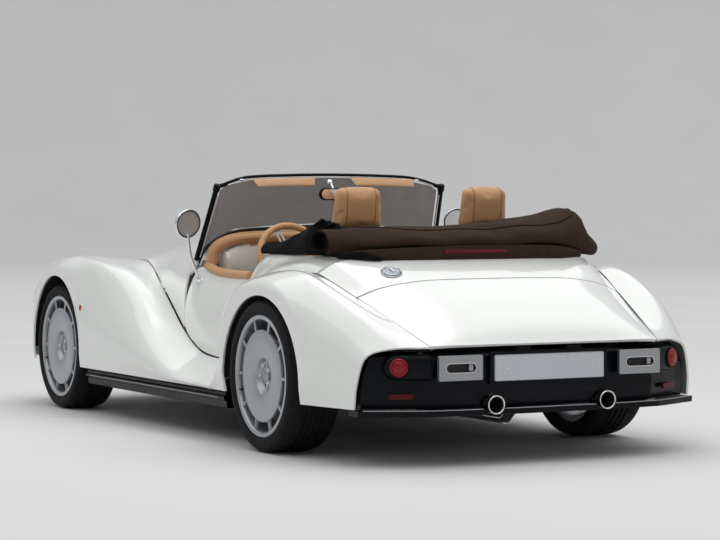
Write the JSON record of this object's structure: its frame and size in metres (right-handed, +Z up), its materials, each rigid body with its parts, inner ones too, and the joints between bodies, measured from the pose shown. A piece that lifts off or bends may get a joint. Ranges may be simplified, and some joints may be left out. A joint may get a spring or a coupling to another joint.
{
  "type": "roadster convertible car",
  "caption": "Two-seat open roadster with separate swept wings, long bonnet, sloping tail, folded soft top, opening doors, bonnet and boot, steering and rolling wheels.",
  "frame": {"origin": "on the ground under the middle of the car's bounding box", "axes": "+X forward, +Y to the car's left, +Z up"},
  "size_m": [4.11, 1.8046, 1.205],
  "materials": {
    "paint": "glossy white paint",
    "black_gloss": "gloss black paint",
    "dark_steel": "satin black coated metal",
    "cast": "rough cast",
    "aluminium": "cast, satin",
    "wheel_silver": "satin silver lacquer",
    "tyre": "matt",
    "bright_trim": "polished",
    "chrome": "polished",
    "polished_steel": "polished",
    "satin_metal": "satin",
    "lamp_glass": "clear",
    "tinted_glass": "grey tint",
    "lamp_red": "glossy red lens",
    "plate": "blank white",
    "black_satin": "satin black",
    "black_plastic": "fine grain",
    "tan_leather": "fine grain",
    "canvas": "woven canvas"
  },
  "bodies": {
    "body": {"chassis": "dark_steel", "engine_block": "aluminium", "front_suspension": "dark_steel", "rear_suspension": "dark_steel", "front_wing_left": "paint", "front_wing_right": "paint", "rear_wing_left": "paint", "rear_wing_right": "paint", "scuttle": "paint", "nose": "paint", "grille": "bright_trim", "headlamp_left": "lamp_glass", "headlamp_right": "lamp_glass", "quarter_left": "paint", "quarter_right": "paint", "rear_deck": "paint", "tail_panel": "black_gloss", "sill_left": "black_gloss", "sill_right": "black_gloss", "exhaust": "polished_steel", "tail_lamp_left": "lamp_red", "tail_lamp_right": "lamp_red", "tail_housing_left": "satin_metal", "tail_housing_right": "satin_metal", "number_plate": "plate", "filler_cap": "chrome", "windscreen_frame": "black_satin", "windscreen_glass": "tinted_glass", "dashboard": "tan_leather", "steering_column": "black_plastic", "seat_left": "tan_leather", "seat_right": "tan_leather", "headrest_left": "tan_leather", "headrest_right": "tan_leather", "soft_top": "canvas"},
    "knuckle_left": {"knuckle_left": "cast"},
    "knuckle_right": {"knuckle_right": "cast"},
    "road_wheel_front_left": {"wheel_front_left": "wheel_silver", "tyre_front_left": "tyre"},
    "road_wheel_front_right": {"wheel_front_right": "wheel_silver", "tyre_front_right": "tyre"},
    "road_wheel_rear_left": {"wheel_rear_left": "wheel_silver", "tyre_rear_left": "tyre"},
    "road_wheel_rear_right": {"wheel_rear_right": "wheel_silver", "tyre_rear_right": "tyre"},
    "left_door": {"door_left": "paint", "mirror_left": "chrome"},
    "right_door": {"door_right": "paint", "mirror_right": "chrome"},
    "bonnet_lid": {"bonnet": "paint"},
    "boot": {"boot_lid": "paint"},
    "hand_wheel": {"steering_wheel": "tan_leather"}
  },
  "joints": [
    {"name": "steer_left", "type": "hinge", "parent": "body", "child": "knuckle_left", "pos_m": [1.405, 0.7, 0.323], "axis": [0, 0, 1], "range_deg": [-30, 30]},
    {"name": "steer_right", "type": "hinge", "parent": "body", "child": "knuckle_right", "pos_m": [1.405, -0.7, 0.323], "axis": [0, 0, 1], "range_deg": [-30, 30]},
    {"name": "road_wheel_front_left_spin", "type": "hinge", "parent": "knuckle_left", "child": "road_wheel_front_left", "pos_m": [1.405, 0.79, 0.323], "axis": [0, 1, 0], "continuous": true},
    {"name": "road_wheel_front_right_spin", "type": "hinge", "parent": "knuckle_right", "child": "road_wheel_front_right", "pos_m": [1.405, -0.79, 0.323], "axis": [0, 1, 0], "continuous": true},
    {"name": "road_wheel_rear_left_spin", "type": "hinge", "parent": "body", "child": "road_wheel_rear_left", "pos_m": [-1.115, 0.77, 0.327], "axis": [0, 1, 0], "continuous": true},
    {"name": "road_wheel_rear_right_spin", "type": "hinge", "parent": "body", "child": "road_wheel_rear_right", "pos_m": [-1.115, -0.77, 0.327], "axis": [0, 1, 0], "continuous": true},
    {"name": "door_left_hinge", "type": "hinge", "parent": "body", "child": "left_door", "pos_m": [0.186, 0.676, 0.6], "axis": [0, 0.0698, -0.9976], "range_deg": [0, 60]},
    {"name": "door_right_hinge", "type": "hinge", "parent": "body", "child": "right_door", "pos_m": [0.186, -0.676, 0.6], "axis": [0, 0.0698, 0.9976], "range_deg": [0, 60]},
    {"name": "bonnet_hinge", "type": "hinge", "parent": "body", "child": "bonnet_lid", "pos_m": [1.99, 0, 0.6], "axis": [0, 1, 0], "range_deg": [0, 50]},
    {"name": "boot_hinge", "type": "hinge", "parent": "body", "child": "boot", "pos_m": [-1.57, 0, 0.742], "axis": [0, 1, 0], "range_deg": [0, 65]},
    {"name": "steering_wheel_turn", "type": "hinge", "parent": "body", "child": "hand_wheel", "pos_m": [-0.37, 0.37, 0.805], "axis": [-0.9272, 0, 0.3746], "range_deg": [-480, 480]}
  ],
  "couplings": [
    {"joint": "steer_right", "follows": "steer_left", "ratio": 1},
    {"joint": "steering_wheel_turn", "follows": "steer_left", "ratio": 16}
  ]
}
